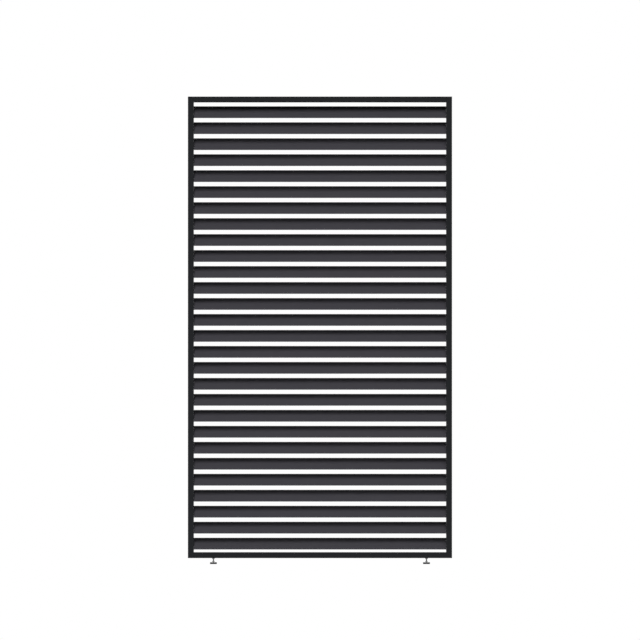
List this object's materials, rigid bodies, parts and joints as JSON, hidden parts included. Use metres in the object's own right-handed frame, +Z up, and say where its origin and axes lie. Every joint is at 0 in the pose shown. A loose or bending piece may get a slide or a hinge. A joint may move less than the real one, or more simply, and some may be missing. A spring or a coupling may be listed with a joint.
{
  "type": "louvred pergola screen",
  "caption": "Upright framed screen of linked tilting aerofoil louvres between slim channel stiles, on two screw levelling feet, for closing a pergola bay.",
  "frame": {"origin": "on the floor under the middle of the screen", "axes": "+Z up, +X along the width to the right seen from the front, +Y from the front to the back"},
  "size_m": [1.2, 0.06, 2.124],
  "materials": {
    "frame_coat": "anthracite powder coat, fine texture",
    "louvre_coat": "anthracite powder coat, fine texture",
    "bare_aluminium": "mill finish",
    "zinc_steel": "grey zinc plate",
    "black_nylon": "moulded nylon",
    "foot_nylon": "moulded nylon"
  },
  "bodies": {
    "root": {"top_rail": "frame_coat", "bottom_rail": "frame_coat", "top_rail_screws": "zinc_steel", "bottom_rail_screws": "zinc_steel", "left_stile": "frame_coat", "left_stile_cover": "frame_coat", "left_stile_top_cap": "black_nylon", "left_stile_bottom_cap": "black_nylon", "left_pivot_bushes": "black_nylon", "left_fixing_spacers": "bare_aluminium", "left_foot_insert": "zinc_steel", "left_foot_lock_nut": "zinc_steel", "right_stile": "frame_coat", "right_stile_cover": "frame_coat", "right_stile_top_cap": "black_nylon", "right_stile_bottom_cap": "black_nylon", "right_pivot_bushes": "black_nylon", "right_fixing_spacers": "bare_aluminium", "right_foot_insert": "zinc_steel", "right_foot_lock_nut": "zinc_steel"},
    "link_bar": {"link_bar": "bare_aluminium"},
    "left_foot_stud": {"left_foot_stud": "zinc_steel"},
    "left_foot_pad": {"left_foot_pad": "foot_nylon"},
    "right_foot_stud": {"right_foot_stud": "zinc_steel"},
    "right_foot_pad": {"right_foot_pad": "foot_nylon"},
    "louvre_01": {"louvre_01": "louvre_coat"},
    "louvre_02": {"louvre_02": "louvre_coat"},
    "louvre_03": {"louvre_03": "louvre_coat"},
    "louvre_04": {"louvre_04": "louvre_coat"},
    "louvre_05": {"louvre_05": "louvre_coat"},
    "louvre_06": {"louvre_06": "louvre_coat"},
    "louvre_07": {"louvre_07": "louvre_coat"},
    "louvre_08": {"louvre_08": "louvre_coat"},
    "louvre_09": {"louvre_09": "louvre_coat"},
    "louvre_10": {"louvre_10": "louvre_coat"},
    "louvre_11": {"louvre_11": "louvre_coat"},
    "louvre_12": {"louvre_12": "louvre_coat"},
    "louvre_13": {"louvre_13": "louvre_coat"},
    "louvre_14": {"louvre_14": "louvre_coat"},
    "louvre_15": {"louvre_15": "louvre_coat"},
    "louvre_16": {"louvre_16": "louvre_coat"},
    "louvre_17": {"louvre_17": "louvre_coat"},
    "louvre_18": {"louvre_18": "louvre_coat"},
    "louvre_19": {"louvre_19": "louvre_coat"},
    "louvre_20": {"louvre_20": "louvre_coat"},
    "louvre_21": {"louvre_21": "louvre_coat"},
    "louvre_22": {"louvre_22": "louvre_coat"},
    "louvre_23": {"louvre_23": "louvre_coat"},
    "louvre_24": {"louvre_24": "louvre_coat"},
    "louvre_25": {"louvre_25": "louvre_coat"},
    "louvre_26": {"louvre_26": "louvre_coat"},
    "louvre_27": {"louvre_27": "louvre_coat"},
    "louvre_28": {"louvre_28": "louvre_coat"}
  },
  "joints": [
    {"name": "louvre_01_tilt", "type": "hinge", "parent": "root", "child": "louvre_01", "pos_m": [0, 0, 2.0529], "axis": [1, 0, 0], "range_deg": [-45, 40]},
    {"name": "louvre_02_tilt", "type": "hinge", "parent": "root", "child": "louvre_02", "pos_m": [0, 0, 1.9803], "axis": [1, 0, 0], "range_deg": [-45, 40]},
    {"name": "louvre_03_tilt", "type": "hinge", "parent": "root", "child": "louvre_03", "pos_m": [0, 0, 1.9077], "axis": [1, 0, 0], "range_deg": [-45, 40]},
    {"name": "louvre_04_tilt", "type": "hinge", "parent": "root", "child": "louvre_04", "pos_m": [0, 0, 1.8351], "axis": [1, 0, 0], "range_deg": [-45, 40]},
    {"name": "louvre_05_tilt", "type": "hinge", "parent": "root", "child": "louvre_05", "pos_m": [0, 0, 1.7625], "axis": [1, 0, 0], "range_deg": [-45, 40]},
    {"name": "louvre_06_tilt", "type": "hinge", "parent": "root", "child": "louvre_06", "pos_m": [0, 0, 1.6899], "axis": [1, 0, 0], "range_deg": [-45, 40]},
    {"name": "louvre_07_tilt", "type": "hinge", "parent": "root", "child": "louvre_07", "pos_m": [0, 0, 1.6173], "axis": [1, 0, 0], "range_deg": [-45, 40]},
    {"name": "louvre_08_tilt", "type": "hinge", "parent": "root", "child": "louvre_08", "pos_m": [0, 0, 1.5447], "axis": [1, 0, 0], "range_deg": [-45, 40]},
    {"name": "louvre_09_tilt", "type": "hinge", "parent": "root", "child": "louvre_09", "pos_m": [0, 0, 1.4721], "axis": [1, 0, 0], "range_deg": [-45, 40]},
    {"name": "louvre_10_tilt", "type": "hinge", "parent": "root", "child": "louvre_10", "pos_m": [0, 0, 1.3995], "axis": [1, 0, 0], "range_deg": [-45, 40]},
    {"name": "louvre_11_tilt", "type": "hinge", "parent": "root", "child": "louvre_11", "pos_m": [0, 0, 1.3269], "axis": [1, 0, 0], "range_deg": [-45, 40]},
    {"name": "louvre_12_tilt", "type": "hinge", "parent": "root", "child": "louvre_12", "pos_m": [0, 0, 1.2543], "axis": [1, 0, 0], "range_deg": [-45, 40]},
    {"name": "louvre_13_tilt", "type": "hinge", "parent": "root", "child": "louvre_13", "pos_m": [0, 0, 1.1817], "axis": [1, 0, 0], "range_deg": [-45, 40]},
    {"name": "louvre_14_tilt", "type": "hinge", "parent": "root", "child": "louvre_14", "pos_m": [0, 0, 1.1091], "axis": [1, 0, 0], "range_deg": [-45, 40]},
    {"name": "louvre_15_tilt", "type": "hinge", "parent": "root", "child": "louvre_15", "pos_m": [0, 0, 1.0365], "axis": [1, 0, 0], "range_deg": [-45, 40]},
    {"name": "louvre_16_tilt", "type": "hinge", "parent": "root", "child": "louvre_16", "pos_m": [0, 0, 0.9639], "axis": [1, 0, 0], "range_deg": [-45, 40]},
    {"name": "louvre_17_tilt", "type": "hinge", "parent": "root", "child": "louvre_17", "pos_m": [0, 0, 0.8913], "axis": [1, 0, 0], "range_deg": [-45, 40]},
    {"name": "louvre_18_tilt", "type": "hinge", "parent": "root", "child": "louvre_18", "pos_m": [0, 0, 0.8187], "axis": [1, 0, 0], "range_deg": [-45, 40]},
    {"name": "louvre_19_tilt", "type": "hinge", "parent": "root", "child": "louvre_19", "pos_m": [0, 0, 0.7461], "axis": [1, 0, 0], "range_deg": [-45, 40]},
    {"name": "louvre_20_tilt", "type": "hinge", "parent": "root", "child": "louvre_20", "pos_m": [0, 0, 0.6735], "axis": [1, 0, 0], "range_deg": [-45, 40]},
    {"name": "louvre_21_tilt", "type": "hinge", "parent": "root", "child": "louvre_21", "pos_m": [0, 0, 0.6009], "axis": [1, 0, 0], "range_deg": [-45, 40]},
    {"name": "louvre_22_tilt", "type": "hinge", "parent": "root", "child": "louvre_22", "pos_m": [0, 0, 0.5283], "axis": [1, 0, 0], "range_deg": [-45, 40]},
    {"name": "louvre_23_tilt", "type": "hinge", "parent": "root", "child": "louvre_23", "pos_m": [0, 0, 0.4557], "axis": [1, 0, 0], "range_deg": [-45, 40]},
    {"name": "louvre_24_tilt", "type": "hinge", "parent": "root", "child": "louvre_24", "pos_m": [0, 0, 0.3831], "axis": [1, 0, 0], "range_deg": [-45, 40]},
    {"name": "louvre_25_tilt", "type": "hinge", "parent": "root", "child": "louvre_25", "pos_m": [0, 0, 0.3105], "axis": [1, 0, 0], "range_deg": [-45, 40]},
    {"name": "louvre_26_tilt", "type": "hinge", "parent": "root", "child": "louvre_26", "pos_m": [0, 0, 0.2379], "axis": [1, 0, 0], "range_deg": [-45, 40]},
    {"name": "louvre_27_tilt", "type": "hinge", "parent": "root", "child": "louvre_27", "pos_m": [0, 0, 0.1653], "axis": [1, 0, 0], "range_deg": [-45, 40]},
    {"name": "louvre_28_tilt", "type": "hinge", "parent": "root", "child": "louvre_28", "pos_m": [0, 0, 0.0927], "axis": [1, 0, 0], "range_deg": [-45, 40]},
    {"name": "link_bar_swing", "type": "hinge", "parent": "louvre_14", "child": "link_bar", "pos_m": [-0.5863, 0.016, 1.1091], "axis": [1, 0, 0], "range_deg": [-40, 45]},
    {"name": "left_foot_level", "type": "slide", "parent": "root", "child": "left_foot_pad", "axis": [0, 0, 1], "range_m": [-0.011, 0.005]},
    {"name": "left_foot_stud_turn", "type": "hinge", "parent": "left_foot_pad", "child": "left_foot_stud", "pos_m": [-0.484, 0, 0.02], "axis": [0, 0, 1], "range_deg": [-3961, 1801]},
    {"name": "right_foot_level", "type": "slide", "parent": "root", "child": "right_foot_pad", "axis": [0, 0, 1], "range_m": [-0.011, 0.005]},
    {"name": "right_foot_stud_turn", "type": "hinge", "parent": "right_foot_pad", "child": "right_foot_stud", "pos_m": [0.484, 0, 0.02], "axis": [0, 0, 1], "range_deg": [-3961, 1801]}
  ],
  "couplings": [
    {"joint": "louvre_01_tilt", "follows": "louvre_14_tilt", "ratio": 1},
    {"joint": "louvre_02_tilt", "follows": "louvre_14_tilt", "ratio": 1},
    {"joint": "louvre_03_tilt", "follows": "louvre_14_tilt", "ratio": 1},
    {"joint": "louvre_04_tilt", "follows": "louvre_14_tilt", "ratio": 1},
    {"joint": "louvre_05_tilt", "follows": "louvre_14_tilt", "ratio": 1},
    {"joint": "louvre_06_tilt", "follows": "louvre_14_tilt", "ratio": 1},
    {"joint": "louvre_07_tilt", "follows": "louvre_14_tilt", "ratio": 1},
    {"joint": "louvre_08_tilt", "follows": "louvre_14_tilt", "ratio": 1},
    {"joint": "louvre_09_tilt", "follows": "louvre_14_tilt", "ratio": 1},
    {"joint": "louvre_10_tilt", "follows": "louvre_14_tilt", "ratio": 1},
    {"joint": "louvre_11_tilt", "follows": "louvre_14_tilt", "ratio": 1},
    {"joint": "louvre_12_tilt", "follows": "louvre_14_tilt", "ratio": 1},
    {"joint": "louvre_13_tilt", "follows": "louvre_14_tilt", "ratio": 1},
    {"joint": "louvre_15_tilt", "follows": "louvre_14_tilt", "ratio": 1},
    {"joint": "louvre_16_tilt", "follows": "louvre_14_tilt", "ratio": 1},
    {"joint": "louvre_17_tilt", "follows": "louvre_14_tilt", "ratio": 1},
    {"joint": "louvre_18_tilt", "follows": "louvre_14_tilt", "ratio": 1},
    {"joint": "louvre_19_tilt", "follows": "louvre_14_tilt", "ratio": 1},
    {"joint": "louvre_20_tilt", "follows": "louvre_14_tilt", "ratio": 1},
    {"joint": "louvre_21_tilt", "follows": "louvre_14_tilt", "ratio": 1},
    {"joint": "louvre_22_tilt", "follows": "louvre_14_tilt", "ratio": 1},
    {"joint": "louvre_23_tilt", "follows": "louvre_14_tilt", "ratio": 1},
    {"joint": "louvre_24_tilt", "follows": "louvre_14_tilt", "ratio": 1},
    {"joint": "louvre_25_tilt", "follows": "louvre_14_tilt", "ratio": 1},
    {"joint": "louvre_26_tilt", "follows": "louvre_14_tilt", "ratio": 1},
    {"joint": "louvre_27_tilt", "follows": "louvre_14_tilt", "ratio": 1},
    {"joint": "louvre_28_tilt", "follows": "louvre_14_tilt", "ratio": 1},
    {"joint": "link_bar_swing", "follows": "louvre_14_tilt", "ratio": -1},
    {"joint": "left_foot_stud_turn", "follows": "left_foot_level", "rad_per_m": 6283.2},
    {"joint": "right_foot_stud_turn", "follows": "right_foot_level", "rad_per_m": 6283.2}
  ]
}
